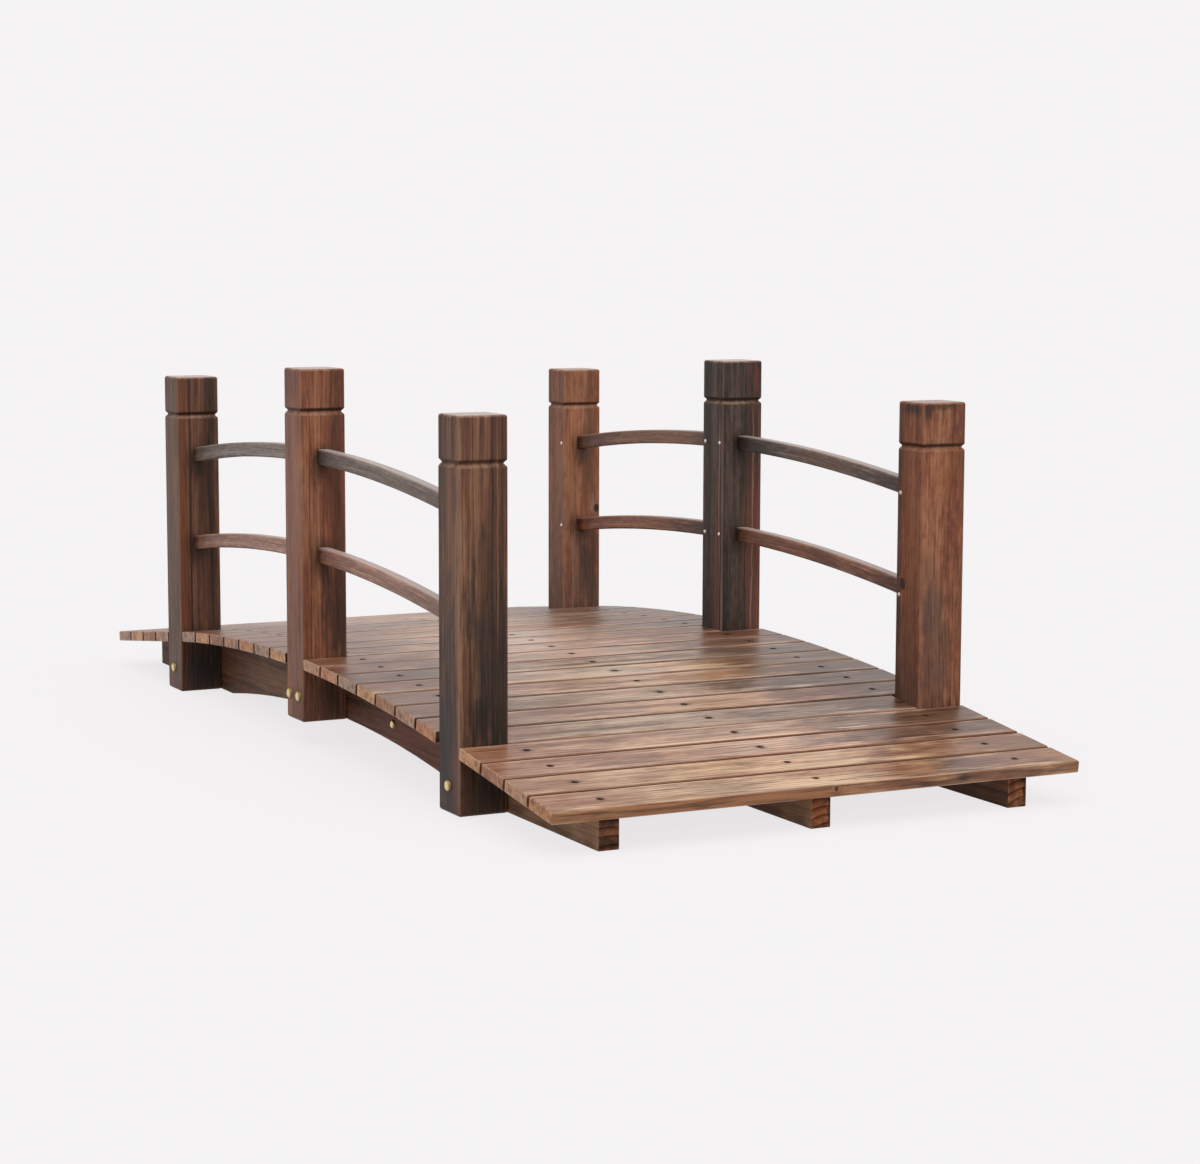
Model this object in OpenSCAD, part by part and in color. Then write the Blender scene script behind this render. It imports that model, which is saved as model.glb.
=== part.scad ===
// Low arched wooden footbridge: a slatted deck on three bowed beams, six notched posts
// and two curved rails a side, mortised into the posts.
// X runs along the bridge, Y across it and Z up.
// The origin is on the ground, under the middle of the deck.

/* [Overall] */
// Length over the end slats
bridge_l = 1524; // [1400:1:1800]
// Width over the posts
bridge_w = 673.1; // [450:0.1:1200]
// Height of the middle posts' tops above the ground
bridge_h = 482.6; // [420:0.1:800]

/* [Deck] */
// Slats from a middle post to an outer post
bay_slats = 8; // [5:1:9]
// Width of a slat, along the bridge
slat_w = 56.2; // [40:0.1:58]
// Thickness of a slat
slat_t = 14.4; // [8:0.1:25]
// Least gap between two slats; the deck takes as many slats as fit and spreads them evenly
slat_gap = 2.5; // [1:0.1:5]
// Bevel along a slat's edges
slat_ease = 1.2; // [0.2:0.1:3.5]

/* [Screw recesses] */
// Width of the recess round a screw's head
screw_d = 8.6; // [5:0.1:12]
// Depth of that recess in the slat
screw_dip = 2; // [0.5:0.1:4]
// From the posts' inner faces in to the outer row of screws
screw_in = 8; // [7.5:0.1:12]

/* [Beams] */
// Thickness of a beam
beam_t = 25; // [15:0.5:45]
// Depth of a beam at its middle
beam_h = 68; // [50:0.5:120]
// Radius of a beam's bowed top
beam_r = 4015; // [3600:5:8000]
// Half the length of the bowed top, which runs on straight past it
bow_half = 486; // [300:1:600]
// How far a beam stops short of the deck's end
beam_inset = 15.6; // [5:0.1:60]
// Height of the arch cut under a beam
arch_rise = 31.5; // [15:0.5:45]
// Half the span of that arch
arch_half = 420; // [250:1:600]

/* [Posts] */
// Thickness of a post, along the bridge
post_t = 56; // [35:0.5:80]
// Width of a post, across the bridge
post_w = 62; // [35:0.5:90]
// Bevel along a post's edges
post_ease = 2.5; // [0.5:0.1:6]
// Depth of the groove's middle below the post's top
cap_h = 54.4; // [30:0.1:80]
// Opening of the groove round a post
groove_h = 9; // [4:0.5:16]
// Depth of that groove
groove_d = 4.2; // [2:0.1:8]

/* [Rails] */
// Height of a rail
rail_h = 19.5; // [12:0.5:35]
// Width of a rail
rail_w = 15; // [8:0.5:30]
// Radius of a rail's bowed top
rail_r = 3515; // [2500:5:8000]
// Bevel along a rail's edges
rail_ease = 1.5; // [0.2:0.1:3.5]
// Drop from a middle post's top to the upper rail
rail_drop = 101.6; // [75:0.1:150]
// Height from the lower rail's top to the upper rail's top
rail_rise = 125.4; // [60:0.1:160]
// Wood left inside a middle post between the ends of two rails
tenon_gap = 14; // [4:0.5:30]

/* [Fits] */
// Gap between a post and the slats beside it
post_gap = 0.4; // [0.1:0.1:3]
// Play above, below and past a rail in its mortise
rail_fit = 0.2; // [0.1:0.05:1]

/* [Hidden] */
LEFT = -1;
RIGHT = 1;
FAR = -1;
MIDDLE = 0;
NEAR = 1;
arc_fn = 2880;      // facets of the large arcs
over = 1;           // how far a cutter runs past what it cuts

beam_top = arch_rise + beam_h;
beam_half = bridge_l / 2 - beam_inset;
end_a = asin(bow_half / beam_r);
bow_z = beam_top - beam_r + beam_r * cos(end_a);
arch_r = (pow(arch_half, 2) + pow(arch_rise, 2)) / (2 * arch_rise);
// How far an end slat, tilted on its seat, reaches past its own middle
slat_reach = slat_w / 2 * cos(end_a) + (slat_t - slat_ease) * sin(end_a);
mid_slat = floor((bridge_l / 2 - slat_reach) / (slat_w + slat_gap));
slat_n = 2 * mid_slat + 1;
slat_step = (bridge_l / 2 - slat_reach) / mid_slat;
post_l = bridge_h - arch_rise;
post_y = (bridge_w - post_w) / 2;
inner_y = bridge_w / 2 - post_w;
// An outer post stands against the first slat outside it
post_slat_x = (bay_slats + 1) * slat_step;
post_x = post_slat_x - slat_w / 2 * cos(seat_a(post_slat_x)) - post_gap - post_t / 2;
tenon_l = (post_t - tenon_gap) / 2;
upper_z = bridge_h - rail_drop;
lower_z = upper_z - rail_rise;

SIDES = [["left", LEFT], ["right", RIGHT]];
PLACES = [["far", FAR], ["middle", MIDDLE], ["near", NEAR]];
ENDS = [["far", FAR], ["near", NEAR]];
LEVELS = [["upper", upper_z], ["lower", lower_z]];
BEAMS = [["left", LEFT], ["middle", MIDDLE], ["right", RIGHT]];

function slat_name(n) = str("slat_", n < 10 ? "0" : "", n);
function beam_name(b) = str("beam_", b[0]);
function post_name(s, p) = str("post_", s[0], "_", p[0]);
function rail_name(s, l, e) = str("rail_", s[0], "_", l[0], "_", e[0]);

// Height and slope, in degrees, of the beams' tops at a place along the bridge
function seat_z(x) = abs(x) <= bow_half
    ? beam_top - beam_r + sqrt(pow(beam_r, 2) - pow(x, 2))
    : bow_z - tan(end_a) * (abs(x) - bow_half);
function seat_a(x) = abs(x) <= bow_half ? asin(x / beam_r) : sign(x) * end_a;

// A profile drawn in X and Z, made solid across the bridge
module across(width) {
    rotate([90, 0, 0]) linear_extrude(height = width, center = true) children();
}

// Slats

// A board's cross-section, its underside on the line of zero height and its edges bevelled
module board_section(width) {
    a = width / 2;
    polygon([
        [-a + slat_ease, 0],
        [a - slat_ease, 0],
        [a, slat_ease],
        [a, slat_t - slat_ease],
        [a - slat_ease, slat_t],
        [-a + slat_ease, slat_t],
        [-a, slat_t - slat_ease],
        [-a, slat_ease]
    ]);
}

// A slat lying flat, bevelled along its sides and its ends
module board(length) {
    intersection() {
        across(length + 2 * over) board_section(slat_w);
        rotate([90, 0, 90])
            linear_extrude(height = slat_w + 2 * over, center = true)
                board_section(length);
    }
}

// Three recesses, each over a beam, for the heads of the screws that hold a slat
module screw_recesses() {
    for (place = [LEFT, MIDDLE, RIGHT])
        translate([0, place * (inner_y - screw_in), slat_t - screw_dip])
            cylinder(d = screw_d, h = screw_dip + over, $fn = 48);
}

// True for the slat between two posts, which is cut short to fit between them
function is_post_slat(i) = i == 0 || abs(i) == bay_slats;

// True if a slat would run into a post, so that it has to be notched
function meets_post(i, place) =
    abs(i * slat_step - place * post_x)
    < slat_w / 2 * cos(end_a) + post_t / 2 + post_gap - 0.01;

// The room that a slat leaves for the two posts at one place
module post_room(place) {
    for (side = [LEFT, RIGHT])
        translate([place * post_x, side * (post_y + over / 2), 0])
            across(post_w + over + 2 * post_gap)
                translate([-post_t / 2 - post_gap, 0])
                    square([post_t + 2 * post_gap, bridge_h]);
}

module slat(i) {
    x = i * slat_step;
    length = is_post_slat(i) ? 2 * (inner_y - post_gap) : bridge_w;
    color("#a58a78")
        difference() {
            translate([x, 0, seat_z(x)])
                rotate([0, seat_a(x), 0])
                    difference() {
                        board(length);
                        screw_recesses();
                    }
            if (!is_post_slat(i))
                for (place = [FAR, MIDDLE, NEAR])
                    if (meets_post(i, place)) post_room(place);
        }
}

// Beams

// The side of a beam: flat feet, an arch between them and a bowed top with straight ends
module beam_profile() {
    end_z = seat_z(beam_half);
    difference() {
        union() {
            polygon([
                [-beam_half, 0],
                [beam_half, 0],
                [beam_half, end_z],
                [bow_half, bow_z],
                [-bow_half, bow_z],
                [-beam_half, end_z]
            ]);
            intersection() {
                translate([0, beam_top - beam_r]) circle(r = beam_r, $fn = arc_fn);
                translate([-bow_half, arch_rise]) square([2 * bow_half, beam_h]);
            }
        }
        translate([0, arch_rise - arch_r]) circle(r = arch_r, $fn = arc_fn);
    }
}

// An outer beam lies against the posts' inner faces
module beam(place) {
    translate([0, place * (inner_y - beam_t / 2), 0])
        color("#4a3429")
            across(beam_t) beam_profile();
}

// Posts

// A groove or bevel cut round a post at one height, by one vee along each face
module ring_cut(z, opening, depth) {
    spread = opening / 2 * (1 + over / depth);
    for (side = [-1, 1]) {
        translate([side * post_t / 2, 0, z])
            rotate([90, 0, 0])
                linear_extrude(height = post_w + 2 * over, center = true)
                    polygon([[-side * depth, 0], [side * over, spread], [side * over, -spread]]);
        translate([0, side * post_w / 2, z])
            rotate([90, 0, 90])
                linear_extrude(height = post_t + 2 * over, center = true)
                    polygon([[-side * depth, 0], [side * over, spread], [side * over, -spread]]);
    }
}

// A post's cross-section, with its four edges bevelled
module post_section() {
    a = post_t / 2;
    b = post_w / 2;
    polygon([
        [a - post_ease, -b], [a, -b + post_ease],
        [a, b - post_ease], [a - post_ease, b],
        [-a + post_ease, b], [-a, b - post_ease],
        [-a, -b + post_ease], [-a + post_ease, -b]
    ]);
}

// A post with its foot at zero height, before its mortises are cut
module post_blank() {
    difference() {
        linear_extrude(height = post_l) post_section();
        ring_cut(post_l - cap_h, groove_h, groove_d);
        ring_cut(post_l, 2 * post_ease, post_ease);
        ring_cut(0, 2 * post_ease, post_ease);
    }
}

// A middle post's foot is level with the crown of the arch beside it
module post(side, place) {
    color("#5b3d2f")
        difference() {
            translate([place * post_x, side * post_y, place == MIDDLE ? arch_rise : 0])
                post_blank();
            for (level = LEVELS)
                for (bay = [FAR, NEAR])
                    if (place == MIDDLE || place == bay) mortise(side, level[1], bay);
        }
}

// Rails

// Half the cross-section of a disc whose rim is a rail, bevelled along the rim's edges
module rail_section() {
    a = rail_r - rail_h;
    b = rail_w / 2;
    polygon([
        [a, -b + rail_ease], [a + rail_ease, -b],
        [rail_r - rail_ease, -b], [rail_r, -b + rail_ease],
        [rail_r, b - rail_ease], [rail_r - rail_ease, b],
        [a + rail_ease, b], [a, b - rail_ease]
    ]);
}

// The side of a rail's ring where it passes through one bay, from mortise to mortise
module bay_profile(top_z, play) {
    start = post_t / 2 - tenon_l - play;
    stop = post_x - post_t / 2 + tenon_l + play;
    drop = rail_r - sqrt(pow(rail_r, 2) - pow(stop, 2));
    translate([start, top_z - drop - rail_h - over])
        square([stop - start, drop + rail_h + 2 * over]);
}

// What is drawn for the near bay, put in its own bay and side
module in_bay(side, bay) {
    translate([0, side * post_y, 0]) mirror([bay == FAR ? 1 : 0, 0, 0]) children();
}

// The hole for a rail in the posts at both ends of a bay
module mortise(side, top_z, bay) {
    in_bay(side, bay)
        across(rail_w)
            intersection() {
                translate([0, top_z - rail_r])
                    difference() {
                        circle(r = rail_r + rail_fit, $fn = arc_fn);
                        circle(r = rail_r - rail_h - rail_fit, $fn = arc_fn);
                    }
                bay_profile(top_z, rail_fit);
            }
}

module rail(side, top_z, bay) {
    color("#63453a")
        in_bay(side, bay)
            intersection() {
                translate([0, 0, top_z - rail_r])
                    rotate([90, 0, 0]) rotate_extrude($fn = arc_fn) rail_section();
                across(rail_w + 2 * over) bay_profile(top_z, 0);
            }
}

for (n = [1:slat_n])
    slat(n - 1 - mid_slat);
for (b = BEAMS)
    beam(b[1]);
for (s = SIDES)
    for (p = PLACES)
        post(s[1], p[1]);
for (s = SIDES)
    for (l = LEVELS)
        for (e = ENDS)
            rail(s[1], l[1], e[1]);
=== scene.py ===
"""Looks of a low arched wooden garden footbridge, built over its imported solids.

Lengths are in metres. X runs along the bridge towards its near end, Y across it towards
the right row of posts and Z up. The solids keep their shape and place: this file dresses
them as scorched and oiled fir, and adds the heads of the screws, bolts and nails.
"""

import logging
import math
from collections.abc import Callable
from dataclasses import dataclass
from enum import Enum
from functools import partial

import bmesh
import bpy
from bpy.types import Node, NodeSocket, NodeTree
from mathutils import Euler, Matrix, Vector


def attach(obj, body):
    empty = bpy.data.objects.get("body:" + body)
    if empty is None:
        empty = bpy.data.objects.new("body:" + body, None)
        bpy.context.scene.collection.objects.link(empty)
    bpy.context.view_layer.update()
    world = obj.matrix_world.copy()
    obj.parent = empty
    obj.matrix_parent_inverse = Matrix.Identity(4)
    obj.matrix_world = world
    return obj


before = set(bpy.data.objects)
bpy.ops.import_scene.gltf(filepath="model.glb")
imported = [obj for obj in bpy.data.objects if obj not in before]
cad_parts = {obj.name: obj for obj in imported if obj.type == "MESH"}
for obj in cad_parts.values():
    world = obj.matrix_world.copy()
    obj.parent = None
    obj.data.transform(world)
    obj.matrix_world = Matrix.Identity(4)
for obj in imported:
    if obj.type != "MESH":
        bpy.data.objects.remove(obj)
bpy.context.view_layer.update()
LOG = logging.getLogger("footbridge")
MM = 0.001
SIDES = {"left": -1, "right": 1}
PLACES = {"far": -1, "middle": 0, "near": 1}
# The ways that the faces in the picture look: to the near end, to the left and up
FRONT, OUTWARD, TOP = (1.0, 0.0, 0.0), (0.0, -1.0, 0.0), (0.0, 0.0, 1.0)
# How high the rails' tops are at the middle posts, and the radius of their bow
RAIL_TOPS = {"upper": 0.381, "lower": 0.2556}
RAIL_BOW = 3.515

Triple = tuple[float, float, float]
Adder = Callable[..., Node]


def linear(hex_colour: str) -> tuple[float, float, float, float]:
    """Turns an sRGB hex colour to a linear one.

    Args:
        hex_colour: six hex digits after a hash.

    Returns:
        Red, green, blue and an alpha of 1.
    """
    parts = [int(hex_colour[i : i + 2], 16) / 255 for i in (1, 3, 5)]
    return (*[c / 12.92 if c <= 0.04045 else ((c + 0.055) / 1.055) ** 2.4 for c in parts], 1.0)


def add_node(
    tree: NodeTree,
    kind: str,
    inputs: dict | None = None,
    ramp: list[tuple] | None = None,
    **settings: object,
) -> Node:
    """Adds one shader node with its settings, its values and its links.

    Args:
        tree: the node tree that takes the node.
        kind: the node's class name, less its ShaderNode.
        inputs: input sockets, by name or place, each with a value, or with the socket or
            the node to link. A node is linked by the first output that it has in use.
        ramp: the stops of a colour ramp, as pairs of place and grey level or colour.
        settings: other settings of the node.

    Returns:
        The new node.
    """
    node = tree.nodes.new("ShaderNode" + kind)
    for key, value in settings.items():
        setattr(node, key, value)
    for socket, value in (inputs or {}).items():
        if isinstance(value, Node):
            value = next(output for output in value.outputs if output.enabled)
        if isinstance(value, NodeSocket):
            tree.links.new(value, node.inputs[socket])
        else:
            node.inputs[socket].default_value = value
    if ramp:
        stops = node.color_ramp.elements
        while len(stops) < len(ramp):
            stops.new(0.5)
        for stop, (place, level) in zip(stops, ramp):
            stop.position = place
            stop.color = level if isinstance(level, tuple) else (level, level, level, 1.0)
    return node


def new_material(name: str) -> tuple[bpy.types.Material, Adder]:
    """Makes a material with an empty node tree.

    Args:
        name: its name.

    Returns:
        The material, and what adds nodes to its tree.
    """
    material = bpy.data.materials.new(name)
    material.use_nodes = True
    material.node_tree.nodes.clear()
    return material, partial(add_node, material.node_tree)


class Grain(Enum):
    """The way the fibres of a board run: the turn that stands them up, and their axis."""

    ALONG = (Euler((0.0, -math.pi / 2, 0.0)), 0)
    ACROSS = (Euler((math.pi / 2, 0.0, 0.0)), 1)
    UPRIGHT = (Euler((0.0, 0.0, 0.0)), 2)


class Tone(Enum):
    """Shades of oiled fir after the torch, from its darkest wood to its palest."""

    HONEY = ("#7f5237", "#ab7a55", "#cf9c75", "#efc79f")
    TAN = ("#754e3b", "#9f7459", "#c59576", "#e5bb9b")
    ROSE = ("#764d3b", "#a27258", "#c79273", "#e7ba9b")
    ASH = ("#6a5242", "#927660", "#b9977d", "#d9ba9f")
    RUSSET = ("#522d1e", "#774632", "#92593f", "#b07757")
    UMBER = ("#452a1d", "#63402e", "#79513b", "#996f54")
    CHARRED = ("#2c1d16", "#513426", "#684432", "#875b44")
    SLATE = ("#1e1815", "#362a24", "#493931", "#665248")
    DRIFT = ("#4c4038", "#6c5d54", "#86766b", "#a49284")
    MAUVE = ("#6d4a3c", "#966a57", "#b2806b", "#cf9f8a")


class Burn(Enum):
    """Colours that the torch, the brush and the oil leave on a patch of a board."""

    SOOT = "#1c1613"
    PITCH = "#2e1a11"
    SINGE = "#6e3a1e"
    CHAR = "#30241e"
    SMOKE = "#5f493e"
    ASHEN = "#8a7567"
    RUST = "#80492e"
    CLARET = "#7a4a3c"
    BARK = "#65452f"
    OLIVE = "#6b5138"
    ROSY = "#a87d6c"
    SIENNA = "#9c5b36"
    AMBER = "#bf8a5b"
    CREAM = "#e8c6a4"
    SCUFF = "#d8ccc3"


class Wash(Enum):
    """Colours that any board can take all over: its smoke, its knots, its edges worn paler,
    partly a painted highlight, and the pale of its tops, partly dusted and partly a painted
    sheen.
    """

    SMOKE = "#40362f"
    HEART = "#24160f"
    RUBBED_AND_HIGHLIT = "#a98a78"
    DUST_AND_SHEEN = "#c6bab6"


@dataclass(frozen=True)
class Patch:
    """A patch on a board: its middle, its reach each way, its colour and its depth.

    With facing set, it keeps to the faces that look that way.
    """

    at: Triple
    reach: Triple
    burn: Burn
    depth: float
    facing: Triple | None = None


@dataclass(frozen=True)
class Streak:
    """A line of wood: the axis it is measured on, its place, its width and its colour.

    The wave says how far it wanders, and the span where it starts and stops along the
    fibres.
    """

    axis: int
    at: float
    width: float
    burn: Burn
    depth: float
    wave: float
    span: tuple[float, float] | None = None


@dataclass(frozen=True)
class Knot:
    """A knot: its middle on the board, its radius, and the way its branch grew."""

    at: Triple
    radius: float
    through: Triple


class FlankCharAndShade(Enum):
    """How far the torch got into a slat's long edges, and how much painted shade of the gap
    between slats lies on them: the colour, and its depth.
    """

    CHARRED = (Burn.PITCH, 1.0)
    SMOKED = (Burn.CHAR, 0.82)
    SINGED = (Burn.SINGE, 0.92)
    BARE_SHADED = (Burn.SINGE, 0.45)


@dataclass(frozen=True)
class SootyShadedFlanks:
    """Torched long edges of a slat, also darkened as painted shade of the gap between slats:
    its middle, its half width, and the flanks' sides.
    """

    middle: float
    half: float
    sides: tuple[int, ...]
    flank: FlankCharAndShade


@dataclass(frozen=True)
class FirFinish:
    """Scorched and oiled fir.

    Sawn fir, planed, torched until its late wood chars, brushed and oiled: straight dark
    lines of late wood on red-brown body wood, smoky patches, and edges worn paler, which is
    partly a painted highlight. The oil gives it a satin sheen that turns pale and hazy at a
    low angle.

    The lift makes the tone paler, or darker below nought. The rings are counted out from a
    pith that lies beside the centre, the two ways across the fibres, and ring is how wide
    each is. The figure is how much the clouds, the bands of rings, the streaks and the
    flecks stand out, and lines how much the dark lines do. The edges worn paler, partly a
    painted highlight, are those whose upward cosine is over rubbed_and_highlit_from. With
    dust_and_sheen set, the faces that look up turn pale, partly dusted and partly a painted
    sheen. With a bow, the fibres follow a curve of that radius. The sawn ends take a share
    of a colour of their own, and end_lines is what they add to the late wood.
    """

    name: str
    grain: Grain
    centre: Triple
    tone: Tone
    lift: float = 0.0
    pith: tuple[float, float] = (0.09, 0.03)
    ring: float = 4.5 * MM
    smoke: float = 0.3
    figure: tuple[float, float, float, float] = (1.2, 1.2, 1.5, 0.4)
    lines: float = 0.5
    rubbed_and_highlit: float = 0.5
    rubbed_and_highlit_from: float = -0.45
    dust_and_sheen: float = 0.0
    bow: float = 0.0
    ends: str = "#8f5f41"
    end_share: float = 0.65
    end_lines: float = 0.5
    sheen: float = 0.55
    ior: float = 1.36
    patches: tuple[Patch, ...] = ()
    streaks: tuple[Streak, ...] = ()
    knot: Knot | None = None
    flanks: SootyShadedFlanks | None = None

    def material(self) -> bpy.types.Material:
        """Builds the finish.

        Returns:
            The material.
        """
        material, add = new_material("scorched_fir_" + self.name)
        FirPainter(self, add).paint()
        return material


class FirPainter:
    """Draws a finish of scorched fir with nodes, in Object coordinates."""

    def __init__(self, fir: FirFinish, add: Adder) -> None:
        """Lays what the rest is drawn from: the place, the noises and the end grain.

        Args:
            fir: the finish.
            add: what adds nodes to the material.
        """
        self.fir, self.add = fir, add
        spot = add("TexCoord")
        self.place, self.normal = spot.outputs["Object"], spot.outputs["Normal"]
        turn, self.along = fir.grain.value
        middle = turn.to_matrix() @ Vector(fir.centre)
        self.fibre = add(
            "Mapping", {"Vector": self._straight(), "Location": -middle, "Rotation": turn}
        )
        self.noise = self._noises()
        # The sawn ends, where the wood shows warmer
        ways = [tuple(s if i == self.along else 0.0 for i in range(3)) for s in (-1.0, 1.0)]
        first, second = (self._facing(way, 0.55, 0.8) for way in ways)
        self.ended = add("Math", {0: first, 1: second}, operation="MAXIMUM")

    def _straight(self) -> Node | NodeSocket:
        """Straightens the place on a bowed board, so that its fibres follow the bow.

        Returns:
            The place.
        """
        if not self.fir.bow:
            return self.place
        x, y, z = self.add("SeparateXYZ", {0: self.place}).outputs
        squared = self.add("Math", {0: x, 1: 2.0}, operation="POWER")
        bend = 1 / (2 * self.fir.bow)
        raised = self.add("Math", {0: squared, 1: bend, 2: z}, operation="MULTIPLY_ADD")
        return self.add("CombineXYZ", {0: x, 1: y, 2: raised})

    def _noises(self) -> dict[str, Node]:
        """Lays the noises of the wood, each stretched along the fibres.

        Returns:
            The noise nodes, by name.
        """
        noises = {}
        for key, across, along, detail, roughness in (
            # Bends of the rings about 110 mm wide and 0.4 m long
            ("wander", 9.0, 2.4, 2.0, 0.5),
            # Fibres about 1.5 mm wide and 60 mm long
            ("fibre", 650.0, 15.0, 3.0, 0.65),
            # Streaks of pale and dark wood about 10 mm wide and 0.4 m long
            ("streak", 95.0, 2.6, 3.0, 0.6),
            # Clouds of tone about 40 mm wide and 0.2 m long
            ("cloud", 24.0, 5.0, 3.0, 0.6),
            # Flecks about 5 mm wide and 16 mm long, where the brush tore the grain
            ("fleck", 190.0, 60.0, 3.0, 0.6),
            # Short scorched lines about 5 mm wide and 70 mm long
            ("scorch", 210.0, 14.0, 4.0, 0.65),
            # Wisps of smoke about 35 mm wide and 90 mm long
            ("smoke", 28.0, 11.0, 4.0, 0.6),
        ):
            stretch = (across, across, along)
            spot = self.add("VectorMath", {0: self.fibre, 1: stretch}, operation="MULTIPLY")
            noises[key] = self.add(
                "TexNoise",
                {"Vector": spot, "Scale": 1.0, "Detail": detail, "Roughness": roughness},
            )
        return noises

    def _facing(self, way: Triple, low: float, high: float) -> Node:
        """Finds the faces that look one way.

        Args:
            way: the way they look.
            low: the cosine at which a face starts to count.
            high: the cosine from which it counts in full.

        Returns:
            How far a spot looks that way.
        """
        cosine = self.add("VectorMath", {0: self.normal, 1: way}, operation="DOT_PRODUCT")
        return self.add("MapRange", {"Value": cosine, "From Min": low, "From Max": high})

    def _away(self, at: Triple, scale: Triple) -> Node:
        """Measures how far a spot lies from a place on the board.

        Args:
            at: the place.
            scale: what the distance along each axis is multiplied by.

        Returns:
            The distance.
        """
        gap = self.add("VectorMath", {0: self.place, 1: at}, operation="SUBTRACT")
        scaled = self.add("VectorMath", {0: gap, 1: scale}, operation="MULTIPLY")
        return self.add("VectorMath", {0: scaled}, operation="LENGTH")

    def paint(self) -> None:
        """Draws the wood, its marks and its relief, and joins them in a shader."""
        add, fir, noise = self.add, self.fir, self.noise
        swirl, heart = self._knot()
        phase = self._rings(swirl)
        # Late wood darkens slowly across a ring and stops short at its edge
        late_wood = add(
            "ValToRGB",
            {"Fac": add("Math", {0: phase}, operation="FRACT")},
            [(0.0, 0.0), (0.4, 0.05), (0.78, 0.65), (0.92, 1.0), (1.0, 0.0)],
        )
        colour = self._body(phase)
        # A patch ends in wisps that follow the fibres
        fray = {0: noise["scorch"], 1: 0.6, 2: noise["smoke"]}
        fray = add("Math", fray, operation="MULTIPLY_ADD")
        for patch in fir.patches:
            colour = self._patch(patch, fray, colour)
        colour = self._lines(late_wood, colour)
        for streak in fir.streaks:
            colour = self._streak(streak, colour)
        if heart is not None:
            tint = linear(Wash.HEART.value)
            colour = add("Mix", {0: heart, 6: colour, 7: tint}, data_type="RGBA")
        matt = self.ended
        # Char, and painted shade of the gaps between slats, on the flanks and the top's edges
        if fir.flanks:
            colour, sooty_and_shaded = self._soot_and_gap_shade(colour)
            matt = add("Math", {0: matt, 1: sooty_and_shaded}, operation="MAXIMUM")
        # Eased edges worn paler: partly wear, partly a painted highlight
        tint = linear(Wash.RUBBED_AND_HIGHLIT.value)
        colour = add("Mix", {0: self._rubbed_and_highlit(), 6: colour, 7: tint}, data_type="RGBA")
        # Tops made pale: partly dusted, partly a painted sheen of the bright surroundings
        # mirrored at a low angle
        if fir.dust_and_sheen:
            raised, tint = self._facing(TOP, 0.72, 0.97), linear(Wash.DUST_AND_SHEEN.value)
            dust_and_sheen_share = add("Math", {0: raised, 1: fir.dust_and_sheen}, operation="MULTIPLY")
            colour = add("Mix", {0: dust_and_sheen_share, 6: colour, 7: tint}, data_type="RGBA")
        height = {0: late_wood, 1: 0.6, 2: noise["fibre"]}
        height = add("Math", height, operation="MULTIPLY_ADD")
        # The saw leaves the ends flat
        brushed = add("Math", {0: self.ended, 1: -0.42, 2: 0.5}, operation="MULTIPLY_ADD")
        relief = add("Bump", {"Height": height, "Strength": brushed, "Distance": 0.25 * MM})
        # End grain soaks up the oil and the flanks' char is dry, so they hardly shine, nor does
        # their painted gap shade
        shine = add("Math", {0: matt, 1: -0.4, 2: 0.5}, operation="MULTIPLY_ADD")
        sheen = {"To Min": fir.sheen - 0.05, "To Max": fir.sheen + 0.1}
        rough = {"Value": noise["fibre"], "From Min": 0.3, "From Max": 0.7, **sheen}
        rough = add("MapRange", rough)
        shader = add(
            "BsdfPrincipled",
            {
                "Base Color": colour,
                "Roughness": rough,
                "Normal": relief,
                "IOR": fir.ior,
                "Specular IOR Level": shine,
            },
        )
        add("OutputMaterial", {"Surface": shader})

    def _knot(self) -> tuple[Node | None, Node | None]:
        """Lays the knot: a dark heart that pushes the rings aside.

        Returns:
            What it adds to the ring count and how dark it is, or None twice.
        """
        knot = self.fir.knot
        if knot is None:
            return None, None
        away = self._away(knot.at, tuple(share / knot.radius for share in knot.through))
        # How far out each is at its most, where it ends, and its most
        swirl, heart = (
            self.add(
                "MapRange",
                {"Value": away, "From Min": full, "From Max": end, "To Min": most, "To Max": 0.0},
                interpolation_type="SMOOTHSTEP",
            )
            for full, end, most in ((0.6, 3.2, 2.6), (0.7, 1.25, 0.95))
        )
        return swirl, heart

    def _rings(self, swirl: Node | None) -> Node:
        """Counts growth rings out from a pith that lies beside the board.

        Args:
            swirl: what the knot adds to the count, or None.

        Returns:
            The count.
        """
        add, (side, up), ring = self.add, self.fir.pith, self.fir.ring
        # The rings bend by up to 15 mm each way, and narrow slowly along the tree
        bend, narrowing = 0.03, 0.02
        wander = {0: self.noise["wander"].outputs["Color"], 1: (bend, bend, 0.0), 2: self.fibre}
        bent = add("VectorMath", wander, operation="MULTIPLY_ADD")
        pith = (side + bend / 2, up + bend / 2, 0.0)
        aside = add("VectorMath", {0: bent, 1: pith}, operation="SUBTRACT")
        scale = (1.0 / ring, 1.0 / ring, narrowing / ring)
        scaled = add("VectorMath", {0: aside, 1: scale}, operation="MULTIPLY")
        count = add("VectorMath", {0: scaled}, operation="LENGTH")
        if swirl is None:
            return count
        return add("Math", {0: count, 1: swirl}, operation="ADD")

    def _body(self, phase: Node) -> Node:
        """Colours the body of the wood, its ends and its smoke.

        Args:
            phase: the ring count.

        Returns:
            The colour.
        """
        add, fir, noise = self.add, self.fir, self.noise
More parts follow.
